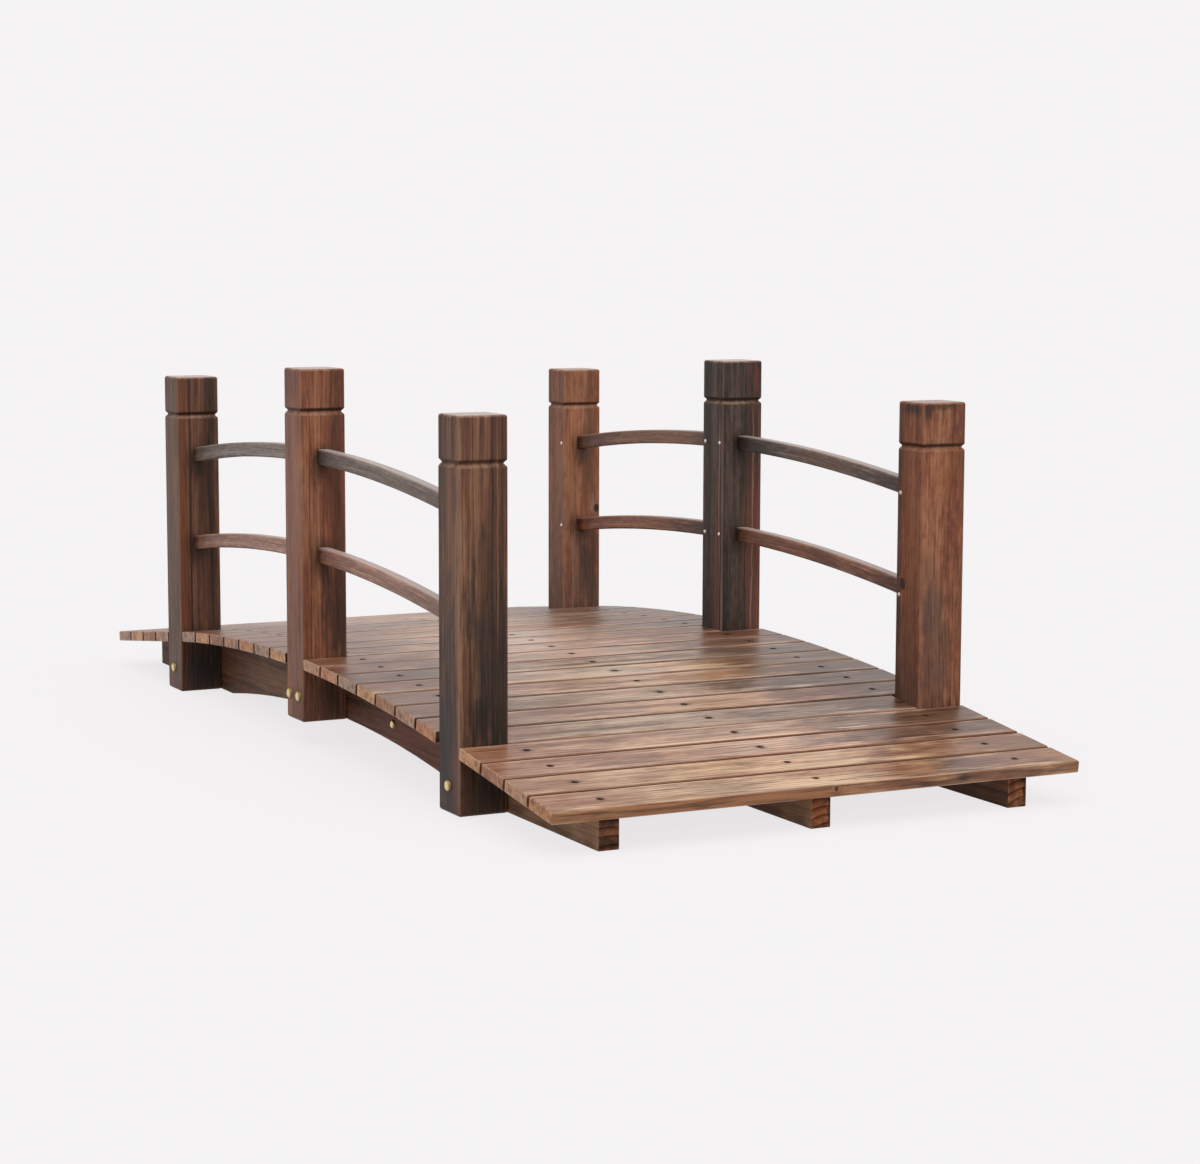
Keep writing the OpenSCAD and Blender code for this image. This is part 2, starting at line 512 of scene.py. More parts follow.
        # Groups of rings darker or paler than the rest, about three rings wide
        groups = add("Math", {0: phase, 1: 0.35}, operation="MULTIPLY")
        bands = add(
            "TexNoise",
            {"W": groups, "Scale": 1.0, "Detail": 3.0, "Roughness": 0.6},
            noise_dimensions="1D",
        )
        level = 0.5 + fir.lift - sum(fir.figure) / 2
        parts = (noise["cloud"], bands, noise["streak"], noise["fleck"])
        for part, share in zip(parts, fir.figure):
            level = add("Math", {0: part, 1: share, 2: level}, operation="MULTIPLY_ADD")
        shades = map(linear, fir.tone.value)
        colour = add("ValToRGB", {"Fac": level}, list(zip((0.08, 0.38, 0.62, 0.92), shades)))
        # The ends soak up the oil unevenly, in strokes about 10 mm wide
        strokes = {"Value": noise["streak"], "From Min": 0.36, "From Max": 0.64}
        soaked = add("MapRange", {**strokes, "To Min": 0.75, "To Max": 1.9})
        ends = add("VectorMath", {0: linear(fir.ends)[:3], "Scale": soaked}, operation="SCALE")
        share = add("Math", {0: self.ended, 1: fir.end_share}, operation="MULTIPLY")
        colour = add("Mix", {0: share, 6: colour, 7: ends}, data_type="RGBA")
        smoked = add(
            "MapRange",
            {"Value": noise["smoke"], "From Min": 0.45, "From Max": 0.7, "To Max": fir.smoke},
            interpolation_type="SMOOTHSTEP",
        )
        smoke = linear(Wash.SMOKE.value)
        return add("Mix", {0: smoked, 6: colour, 7: smoke}, data_type="RGBA")

    def _lines(self, late_wood: Node, colour: Node) -> Node:
        """Draws the late wood, the fibres and the scorched lines over the colour.

        Args:
            late_wood: where the late wood lies.
            colour: the colour so far.

        Returns:
            The colour with its lines.
        """
        add, fir = self.add, self.fir
        fibres = {"Value": self.noise["fibre"], "From Min": 0.46, "From Max": 0.68}
        scorched = {"Value": self.noise["scorch"], "From Min": 0.52, "From Max": 0.66}
        fibres = add("MapRange", fibres)
        scorched = add("MapRange", scorched, interpolation_type="SMOOTHSTEP")
        fine, bold = 0.6 * fir.lines, 0.75 * fir.lines
        # Each has its strength along the board, what the sawn ends add to it, and its colour.
        # The ends keep a fifth of the fibres and of the scorched lines
        for mask, share, ends, shade in (
            (late_wood, 0.7 * fir.lines, fir.end_lines, "#7d6152"),
            (fibres, fine, -0.8 * fine, "#7a6256"),
            (scorched, bold, -0.8 * bold, "#6b5044"),
        ):
            shown = add("Math", {0: self.ended, 1: ends, 2: share}, operation="MULTIPLY_ADD")
            strength = add("Math", {0: mask, 1: shown}, operation="MULTIPLY")
            colour = add(
                "Mix",
                {0: strength, 6: colour, 7: linear(shade)},
                data_type="RGBA",
                blend_type="MULTIPLY",
            )
        return colour

    def _patch(self, patch: Patch, fray: Node, colour: Node) -> Node:
        """Lays one patch over the board, with a ragged edge.

        Args:
            patch: the patch.
            fray: the noise that frays its edge.
            colour: the colour so far.

        Returns:
            The colour with the patch on it.
        """
        add = self.add
        away = self._away(patch.at, tuple(1.0 / reach for reach in patch.reach))
        ragged = add("Math", {0: fray, 1: -2.0, 2: away}, operation="MULTIPLY_ADD")
        lay = {"Value": ragged, "From Min": -1.35, "From Max": -0.4, "To Min": patch.depth}
        lay = add("MapRange", {**lay, "To Max": 0.0}, interpolation_type="SMOOTHSTEP")
        if patch.facing:
            turned = self._facing(patch.facing, 0.6, 0.95)
            lay = add("Math", {0: lay, 1: turned}, operation="MULTIPLY")
        burnt = linear(patch.burn.value)
        return add("Mix", {0: lay, 6: colour, 7: burnt}, data_type="RGBA")

    def _streak(self, streak: Streak, colour: Node) -> Node:
        """Draws one line of wood.

        Args:
            streak: the line.
            colour: the colour so far.

        Returns:
            The colour with the line on it.
        """
        add, wave, noise = self.add, streak.wave, self.noise
        axes = add("SeparateXYZ", {0: self.place}).outputs
        start = {0: axes[streak.axis], 1: streak.at + 2 * wave}
        start = add("Math", start, operation="SUBTRACT")
        waved = add("Math", {0: noise["smoke"], 1: 4 * wave, 2: start}, operation="MULTIPLY_ADD")
        gap = add("Math", {0: waved}, operation="ABSOLUTE")
        line = {"Value": gap, "From Min": 0.15 * streak.width, "From Max": 0.65 * streak.width}
        line |= {"To Min": streak.depth, "To Max": 0.0}
        line = add("MapRange", line, interpolation_type="SMOOTHSTEP")
        breaks = {"Value": noise["cloud"], "From Min": 0.3, "From Max": 0.5, "To Min": 0.45}
        line = add("Math", {0: line, 1: add("MapRange", breaks)}, operation="MULTIPLY")
        if streak.span:
            low, high = streak.span
            off = add("Math", {0: axes[self.along], 1: (low + high) / 2}, operation="SUBTRACT")
            off = add("Math", {0: off}, operation="ABSOLUTE")
            reach = (high - low) / 2
            kept = {"Value": off, "From Min": 0.6 * reach, "From Max": reach}
            kept |= {"To Min": 1.0, "To Max": 0.0}
            kept = add("MapRange", kept, interpolation_type="SMOOTHSTEP")
            line = add("Math", {0: line, 1: kept}, operation="MULTIPLY")
        burnt = linear(streak.burn.value)
        return add("Mix", {0: line, 6: colour, 7: burnt}, data_type="RGBA")

    def _soot_and_gap_shade(self, colour: Node) -> tuple[Node, Node]:
        """Chars a slat's flanks, which the brush and the oil didn't reach, and darkens them and
        the top's edges beside them with painted shade of the gap between slats.

        Args:
            colour: the colour so far.

        Returns:
            The colour with its char and painted gap shade, and how dark a spot is from both.
        """
        add, flanks, lays = self.add, self.fir.flanks, []
        burn, depth = flanks.flank.value
        x = add("SeparateXYZ", {0: self.place}).outputs[0]
        for side in flanks.sides:
            out = {0: x, 1: float(side), 2: -side * flanks.middle}
            out = add("Math", out, operation="MULTIPLY_ADD")
            # The char and the painted gap shade fray a few millimetres in along the top's edges
            ragged = {0: self.noise["scorch"], 1: 22 * MM, 2: out}
            ragged = add("Math", ragged, operation="MULTIPLY_ADD")
            low, high = flanks.half + 10.5 * MM, flanks.half + 14.0 * MM
            edge = {"Value": ragged, "From Min": low, "From Max": high, "To Max": 0.65}
            edge = {0: add("MapRange", edge), 1: self._facing(TOP, 0.5, 0.8)}
            edge = add("Math", edge, operation="MULTIPLY")
            flank = self._facing((float(side), 0.0, 0.0), 0.55, 0.8)
            lay = add("Math", {0: edge, 1: flank}, operation="MAXIMUM")
            lay = add("Math", {0: lay, 1: depth}, operation="MULTIPLY")
            colour = add("Mix", {0: lay, 6: colour, 7: linear(burn.value)}, data_type="RGBA")
            lays.append(lay)
        return colour, add("Math", {0: lays[0], 1: lays[-1]}, operation="MAXIMUM")

    def _rubbed_and_highlit(self) -> Node:
        """Finds the eased edges that don't face down, which are worn paler in places: partly
        wear, partly a painted highlight.

        Returns:
            How worn and highlit a spot is.
        """
        add, fir = self.add, self.fir
        turned = add("VectorMath", {0: self.normal}, operation="ABSOLUTE")
        x, y, most = add("SeparateXYZ", {0: turned}).outputs
        for other in (x, y):
            most = add("Math", {0: most, 1: other}, operation="MAXIMUM")
        eased = {"Value": most, "From Min": 0.95, "From Max": 0.8, "To Max": fir.rubbed_and_highlit}
        rubbed_and_highlit = add("MapRange", eased)
        broken = {"Value": self.noise["streak"], "From Min": 0.4, "From Max": 0.62}
        raised = self._facing(TOP, fir.rubbed_and_highlit_from, fir.rubbed_and_highlit_from + 0.3)
        for share in (add("MapRange", broken), raised):
            rubbed_and_highlit = add("Math", {0: rubbed_and_highlit, 1: share}, operation="MULTIPLY")
        return rubbed_and_highlit


@dataclass(frozen=True)
class MetalFinish:
    """Metal of a fastener's head, dulled a little by handling.

    With a rim set, a bolt's head is darkened where it curves away from its top: painted
    shade that stands in for the dark things it mirrors there.
    """

    name: str
    colour: str
    roughness: float
    grime_and_shade: str = "#2b221c"
    rim: float = 0.0

    def material(self) -> bpy.types.Material:
        """Builds the finish, with faint dirt in spots about 1 mm across, and with painted shade
        round a dome's rim when a rim is set.

        Returns:
            The material.
        """
        material, add = new_material(self.name)
        place = add("TexCoord")
        spots = {"Vector": place.outputs["Object"], "Scale": 900.0, "Detail": 3.0}
        spots = add("TexNoise", spots)
        grime_and_rim_shade = {"Value": spots, "From Min": 0.5, "From Max": 0.8, "To Max": 0.5}
        grime_and_rim_shade = add("MapRange", grime_and_rim_shade)
        # Painted shade where the dome curves away, standing in for a dark reflection
        if self.rim:
            across = add("SeparateXYZ", {0: place.outputs["Normal"]}).outputs[1]
            across = add("Math", {0: across}, operation="ABSOLUTE")
            rim_shade = {"Value": across, "From Min": 0.97, "From Max": 0.6, "To Max": self.rim}
            grime_and_rim_shade = {0: grime_and_rim_shade, 1: add("MapRange", rim_shade)}
            grime_and_rim_shade = add("Math", grime_and_rim_shade, operation="MAXIMUM")
        tint = {0: grime_and_rim_shade, 6: linear(self.colour), 7: linear(self.grime_and_shade)}
        sheen = {"To Min": self.roughness - 0.05, "To Max": self.roughness + 0.12}
        rough = {"Value": spots, "From Min": 0.3, "From Max": 0.7, **sheen}
        shader = add(
            "BsdfPrincipled",
            {
                "Base Color": add("Mix", tint, data_type="RGBA"),
                "Metallic": 1.0,
                "Roughness": add("MapRange", rough),
                "Normal": add("Bump", {"Height": spots, "Strength": 0.15, "Distance": 0.1 * MM}),
            },
        )
        add("OutputMaterial", {"Surface": shader})
        return material


# Brass, turned and left to dull: pale yellow with soft bright highlights, and painted
# shade round the rim of its domes
BRASS = MetalFinish("dulled_brass", "#e6d19a", 0.2, "#4a3820", 0.85)
# Steel, black phosphated: near black, it only shows a dull grey glint
BLACK_STEEL = MetalFinish("black_phosphated_steel", "#3d3631", 0.45)
# Steel, bright zinc plated: small pale dots
ZINC = MetalFinish("zinc_plated_steel", "#e6ddd2", 0.4)


def dress_solid(finish: FirFinish, easing: float) -> None:
    """Gives a solid its finish and rounds its sharp edges a little, as sanding does.

    Args:
        finish: the finish, which has the name of the solid's node.
        easing: how far back the rounding starts.
    """
    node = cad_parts[finish.name]
    node.data.materials.clear()
    node.data.materials.append(finish.material())
    weld = node.modifiers.new("weld", "WELD")
    weld.merge_threshold = 0.002 * MM
    bevel = node.modifiers.new("sanded_edges", "BEVEL")
    bevel.width = easing
    bevel.segments = 2
    bevel.limit_method = "ANGLE"
    bevel.angle_limit = math.radians(25)
    bevel.use_clamp_overlap = True


def to_mesh(name: str, shape: bmesh.types.BMesh) -> bpy.types.Mesh:
    """Turns a finished shape to a mesh.

    Args:
        name: the mesh's name.
        shape: the shape, which is freed.

    Returns:
        The mesh.
    """
    mesh = bpy.data.meshes.new(name)
    shape.to_mesh(mesh)
    shape.free()
    return mesh


def add_piece(name: str, shape: bmesh.types.BMesh, finish: bpy.types.Material) -> None:
    """Makes an object of a finished shape and lets it ride on the bridge.

    Args:
        name: the piece's name.
        shape: its shape, in place.
        finish: its material.
    """
    mesh = to_mesh(name, shape)
    mesh.materials.append(finish)
    piece = bpy.data.objects.new(name, mesh)
    bpy.context.scene.collection.objects.link(piece)
    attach(piece, "root")
    LOG.info("%s: %d faces", name, len(mesh.polygons))


def stamp(shape: bmesh.types.BMesh, head: bpy.types.Mesh, place: Matrix) -> None:
    """Adds a copy of a fastener's head to a shape.

    Args:
        shape: what takes the copy.
        head: the head, its foot at the origin and its top towards +Z.
        place: where it goes.
    """
    copy = head.copy()
    copy.transform(place)
    shape.from_mesh(copy)
    bpy.data.meshes.remove(copy)


@dataclass(frozen=True)
class DomedHead:
    """The head of a bolt or nail: a flat collar under a low dome."""

    radius: float = 6.9 * MM
    collar: float = 1.0 * MM
    height: float = 4.2 * MM
    steps: int = 24
    arcs: int = 7

    def mesh(self) -> bpy.types.Mesh:
        """Spins the head's outline round its axis.

        Returns:
            The head, its foot at the origin.
        """
        shape = bmesh.new()
        last = bmesh.ops.create_vert(shape, co=(self.radius, 0.0, -0.5 * MM))["vert"]
        outline = list(last)
        spots = [(self.radius, self.collar)]
        for i in range(1, self.arcs + 1):
            turn = i / self.arcs * math.pi / 2
            rise = (self.height - self.collar) * math.sin(turn)
            spots.append((0.94 * self.radius * math.cos(turn), self.collar + rise))
        for out, up in spots:
            line = bmesh.ops.extrude_vert_indiv(shape, verts=last)
            last = line["verts"]
            bmesh.ops.translate(shape, verts=last, vec=Vector((out, 0.0, up)) - last[0].co)
            outline += line["edges"] + last
        bmesh.ops.spin(
            shape,
            geom=outline,
            cent=(0.0, 0.0, 0.0),
            axis=(0.0, 0.0, 1.0),
            angle=math.tau,
            steps=self.steps,
            use_merge=True,
        )
        bmesh.ops.remove_doubles(shape, verts=list(shape.verts), dist=0.001 * MM)
        bmesh.ops.recalc_face_normals(shape, faces=list(shape.faces))
        for face in shape.faces:
            face.smooth = True
        return to_mesh("domed_head", shape)


@dataclass(frozen=True)
class CrossHead:
    """The flat head of a screw, with a cross cut in it."""

    radius: float = 3.9 * MM
    height: float = 1.1 * MM
    cut: float = 1.9 * MM
    depth: float = 0.8 * MM

    def mesh(self) -> bpy.types.Mesh:
        """Joins a round rim to a small grid and sinks the grid's middle cross.

        Returns:
            The head, its foot at the origin.
        """
        shape = bmesh.new()
        ops = bmesh.ops
        rim = ops.create_circle(shape, cap_ends=False, segments=16, radius=self.radius)["verts"]
        grid = ops.create_grid(shape, x_segments=3, y_segments=3, size=self.cut)["verts"]
        loops = [e for e in shape.edges if e.is_boundary or e.is_wire]
        flat = ops.bridge_loops(shape, edges=loops)["faces"]
        ops.translate(shape, verts=rim + grid, vec=(0.0, 0.0, self.height))
        cross = [
            face
            for face in shape.faces
            if face not in flat and min(abs(c) for c in face.calc_center_median()[:2]) < 0.5 * MM
        ]
        sunk = ops.extrude_face_region(shape, geom=cross)["geom"]
        floor = [g for g in sunk if isinstance(g, bmesh.types.BMVert)]
        ops.translate(shape, verts=floor, vec=(0.0, 0.0, -self.depth))
        ops.delete(shape, geom=cross, context="FACES")
        edge = [e for e in shape.edges if e.is_boundary]
        skirt = ops.extrude_edge_only(shape, edges=edge)["geom"]
        foot = [g for g in skirt if isinstance(g, bmesh.types.BMVert)]
        ops.translate(shape, verts=foot, vec=(0.0, 0.0, -self.height))
        ops.recalc_face_normals(shape, faces=list(shape.faces))
        return to_mesh("cross_head", shape)


@dataclass
class Studio:
    """The camera, the soft light and the pale floor."""

    eye: Triple = (3.31806, -1.56915, 0.63575)
    heading: float = 153.26
    pitch: float = -6.89
    roll: float = 0.15
    lens: float = 83.118
    ground: str = "#f5f3f4"

    def camera(self) -> None:
        """Stands the camera where the picture was taken from."""
        h, p, r = (math.radians(a) for a in (self.heading, self.pitch, self.roll))
        ahead = Vector((math.cos(p) * math.cos(h), math.cos(p) * math.sin(h), math.sin(p)))
        right = Vector((math.sin(h), -math.cos(h), 0.0))
        up = right.cross(ahead)
        right, up = right * math.cos(r) + up * math.sin(r), up * math.cos(r) - right * math.sin(r)
        data = bpy.data.cameras.new("camera")
        data.sensor_width = 36.0
        data.lens = self.lens
        data.clip_end = 200.0
        eye = bpy.data.objects.new("camera", data)
        turn = Matrix((right, up, -ahead)).transposed()
        eye.matrix_world = Matrix.Translation(self.eye) @ turn.to_4x4()
        bpy.context.scene.collection.objects.link(eye)
        bpy.context.scene.camera = eye

    def lights(self) -> None:
        """Hangs two wide soft lights over a pale surrounding."""
        for name, strength, spread, tilt, turn in (
            ("top_light", 1.25, 70.0, 18.0, 60.0),
            ("front_light", 0.55, 60.0, 55.0, 95.0),
        ):
            data = bpy.data.lights.new(name, "SUN")
            data.energy = strength
            data.angle = math.radians(spread)
            lamp = bpy.data.objects.new(name, data)
            lamp.rotation_euler = (math.radians(tilt), 0.0, math.radians(turn))
            bpy.context.scene.collection.objects.link(lamp)

    def surroundings(self) -> None:
        """Sets the surroundings: pale where they are seen or mirrored, softer as a light."""
        world = bpy.data.worlds.new("studio")
        bpy.context.scene.world = world
        world.use_nodes = True
        world.node_tree.nodes.clear()
        add = partial(add_node, world.node_tree)
        sky = add("Background", {"Color": (1.0, 1.0, 1.0, 1.0), "Strength": 0.55})
        backdrop = add("Background", {"Color": linear(self.ground), "Strength": 1.0})
        mixed = add("MixShader", {0: self._seen(add), 1: sky, 2: backdrop})
        add("OutputWorld", {"Surface": mixed})

    def floor(self) -> None:
        """Lays the floor: it shows a faint soft shadow and fades into the backdrop."""
        shape = bmesh.new()
        bmesh.ops.create_grid(shape, x_segments=8, y_segments=8, size=60.0)
        mesh = to_mesh("floor", shape)
        material, add = new_material("matt_paper_floor")
        lit = add("BsdfDiffuse", {"Color": linear("#f2f0f1")})
        plain = add("Emission", {"Color": linear(self.ground), "Strength": 1.0})
        # The more of the plain colour, the fainter the shadow
        shown = add("MixShader", {0: 0.85, 1: lit, 2: plain})
        # What the floor throws back at the bridge
        grey = add("BsdfDiffuse", {"Color": linear("#a9a7a5")})
        mixed = add("MixShader", {0: self._seen(add), 1: grey, 2: shown})
        add("OutputMaterial", {"Surface": mixed})
        mesh.materials.append(material)
        ground = bpy.data.objects.new("floor", mesh)
        bpy.context.scene.collection.objects.link(ground)

    def _seen(self, add: Adder) -> Node:
        """Tells rays that are seen or mirrored from those that only light.

        Args:
            add: what adds the nodes.

        Returns:
            One for a camera, glossy or transmitted ray, else nought.
        """
        path = add("LightPath").outputs
        mirrored = {0: path["Is Glossy Ray"], 1: path["Is Transmission Ray"]}
        mirrored = add("Math", mirrored, operation="MAXIMUM")
        return add("Math", {0: path["Is Camera Ray"], 1: mirrored}, operation="MAXIMUM")

    def build(self) -> None:
        """Builds the whole studio."""
        self.camera()
        self.lights()
        self.surroundings()
        self.floor()
        bpy.context.scene.view_settings.view_transform = "Standard"
        LOG.info("studio: camera, two lights and a floor")


@dataclass(frozen=True)
class Board:
    """What sets one board apart: its tone, its marks, its long edges and its streaks.

    A mark is its place along the board, its reach, its colour and its depth. A streak is
    its place across the board, its width, its colour, its depth, and where it starts and
    stops along the board.
    """

    tone: Tone
    lift: float = 0.0
    marks: tuple[tuple[float, float, Burn, float], ...] = ()
    flank: FlankCharAndShade = FlankCharAndShade.CHARRED
    streaks: tuple[tuple[float, float, Burn, float, tuple[float, float]], ...] = ()


# The slats' boards, from the far end to the near one
SLAT_BOARDS = (
    Board(Tone.HONEY, 0.0, ((-0.2, 0.1, Burn.SMOKE, 0.4),)),
    Board(Tone.TAN, 0.05, ((0.1, 0.1, Burn.AMBER, 0.4),)),
    Board(Tone.ROSE, 0.0, ((-0.05, 0.12, Burn.SMOKE, 0.4),)),
    Board(Tone.TAN, 0.0, ((0.2, 0.08, Burn.RUST, 0.5),)),
    Board(Tone.ASH, 0.05, ((-0.15, 0.12, Burn.ASHEN, 0.4),)),
    Board(Tone.TAN, 0.0, ((0.02, 0.1, Burn.CREAM, 0.3),)),
    Board(Tone.ROSE, -0.05, ((0.18, 0.1, Burn.SMOKE, 0.5),)),
    Board(Tone.ASH, -0.05, ((-0.1, 0.2, Burn.ASHEN, 0.4),)),
    Board(Tone.TAN, -0.05, ((-0.22, 0.08, Burn.RUST, 0.4),)),
    Board(Tone.HONEY, -0.05, ((0.1, 0.1, Burn.SMOKE, 0.4),)),
    Board(Tone.ROSE, 0.0, ((-0.12, 0.1, Burn.CREAM, 0.3),)),
    Board(Tone.TAN, 0.28, ((0.02, 0.13, Burn.SCUFF, 0.4), (0.2, 0.08, Burn.SMOKE, 0.5))),
    Board(Tone.ROSE, 0.36, ((0.0, 0.13, Burn.SCUFF, 0.45), (0.19, 0.09, Burn.RUST, 0.5))),
    Board(Tone.ROSE, 0.36, ((0.0, 0.13, Burn.SCUFF, 0.45), (0.23, 0.1, Burn.RUST, 0.55))),
    Board(
        Tone.ROSE, 0.25,
        (
            (-0.27, 0.1, Burn.CLARET, 0.5), (0.0, 0.1, Burn.SCUFF, 0.35),
            (0.24, 0.07, Burn.CLARET, 0.35),
        ),
    ),
    Board(Tone.ASH, 0.18, ((-0.27, 0.16, Burn.SMOKE, 0.6), (0.2, 0.12, Burn.SMOKE, 0.2))),
    Board(
        Tone.HONEY, 0.2, ((-0.05, 0.15, Burn.SCUFF, 0.4), (0.18, 0.06, Burn.RUST, 0.25)),
        FlankCharAndShade.SINGED, ((0.02, 5 * MM, Burn.CREAM, 0.6, (-0.2, 0.16)),),
    ),
    Board(
        Tone.TAN, 0.23,
        (
            (-0.3, 0.08, Burn.ASHEN, 0.4), (0.1, 0.08, Burn.AMBER, 0.55),
            (0.24, 0.08, Burn.BARK, 0.6),
        ),
        FlankCharAndShade.SMOKED, ((-0.008, 3 * MM, Burn.RUST, 0.5, (0.05, 0.26)),),
    ),
    Board(
        Tone.ASH, 0.2,
        (
            (-0.05, 0.12, Burn.CREAM, 0.3), (0.17, 0.1, Burn.SMOKE, 0.7),
            (0.25, 0.08, Burn.BARK, 0.6),
        ),
        FlankCharAndShade.SMOKED, ((0.012, 4 * MM, Burn.CHAR, 0.5, (0.08, 0.2)),),
    ),
    Board(
        Tone.ROSE, 0.12,
        (
            (-0.2, 0.14, Burn.ASHEN, 0.5), (0.04, 0.1, Burn.CREAM, 0.35),
            (0.18, 0.08, Burn.CLARET, 0.45),
        ),
        FlankCharAndShade.SMOKED, ((-0.012, 3 * MM, Burn.CREAM, 0.5, (-0.1, 0.12)),),
    ),
    Board(
        Tone.ASH, 0.15,
        (
            (0.0, 0.12, Burn.SCUFF, 0.25), (0.15, 0.14, Burn.SMOKE, 0.45),
            (0.29, 0.06, Burn.RUST, 0.4),
        ),
        FlankCharAndShade.BARE_SHADED, ((0.015, 4 * MM, Burn.CHAR, 0.45, (0.1, 0.24)),),
    ),
    # This slat and the next: the dark mark at the right end, in front of the near right post, is
    # painted shadow and reflection of that post
    Board(
        Tone.TAN, 0.2,
        (
            (0.13, 0.06, Burn.SMOKE, 0.6), (0.0, 0.09, Burn.SCUFF, 0.35),
            (0.29, 0.08, Burn.BARK, 0.85),
        ),
        FlankCharAndShade.SINGED,
        (
            # The pale streaks by the near edge, this one and the last, are painted highlights
            # along its arris
            (0.0235, 6 * MM, Burn.CREAM, 0.9, (-0.22, 0.13)),
            (0.0215, 3 * MM, Burn.SOOT, 0.7, (0.1, 0.15)),
            (0.0185, 4 * MM, Burn.SCUFF, 0.9, (0.125, 0.175)),
        ),
    ),
    Board(
        Tone.ROSE, 0.15,
        (
            (0.18, 0.1, Burn.SMOKE, 0.4), (-0.02, 0.1, Burn.SCUFF, 0.25),
            (-0.18, 0.07, Burn.CLARET, 0.35), (0.28, 0.07, Burn.BARK, 0.75),
        ),
        FlankCharAndShade.SINGED, ((0.004, 3 * MM, Burn.RUST, 0.4, (0.06, 0.24)),),
    ),
    Board(
        Tone.HONEY, 0.26,
        (
            (0.06, 0.04, Burn.CREAM, 0.45), (0.12, 0.04, Burn.CLARET, 0.5),
            (0.24, 0.12, Burn.SIENNA, 0.5),
        ),
        # The pale streak by the near edge is a painted highlight along its arris
        FlankCharAndShade.SINGED, ((0.021, 4 * MM, Burn.CREAM, 0.5, (-0.04, 0.2)),),
    ),
    Board(
        Tone.HONEY, 0.2,
        (
            (-0.11, 0.06, Burn.ASHEN, 0.25), (0.12, 0.06, Burn.SIENNA, 0.5),
            (0.2, 0.05, Burn.SMOKE, 0.6), (0.29, 0.1, Burn.SIENNA, 0.5),
            (0.345, 0.05, Burn.AMBER, 0.5),
        ),
        FlankCharAndShade.SINGED,
        (
            # The pale streak by the near edge is a painted highlight along its arris
            (0.019, 4 * MM, Burn.CREAM, 0.7, (-0.1, 0.05)),
            (0.0, 3 * MM, Burn.RUST, 0.4, (0.02, 0.2)),
        ),
    ),
)
# Marks on the last slat's front edge, which is warmer: each is its place along the edge,
# its height over the slat's underside, its reach both ways, its colour and its depth
FRONT_EDGE = (
    (-0.15, 0.0, 0.4, 0.1, Burn.SIENNA, 0.9),
    (-0.15, 0.0, 0.4, 0.1, Burn.AMBER, 0.35),
    (-0.3, 0.0, 0.06, 0.1, Burn.AMBER, 0.5),
    (0.24, 0.0, 0.18, 0.1, Burn.RUST, 0.8),
    (0.35, 0.0, 0.07, 0.1, Burn.AMBER, 0.6),
    (0.178, 5 * MM, 0.012, 0.007, Burn.CHAR, 0.8),
)
SLAT_ENDS = ("#b07650", "#96644a", "#9a7d6c", "#ab7f66", "#c08c62")


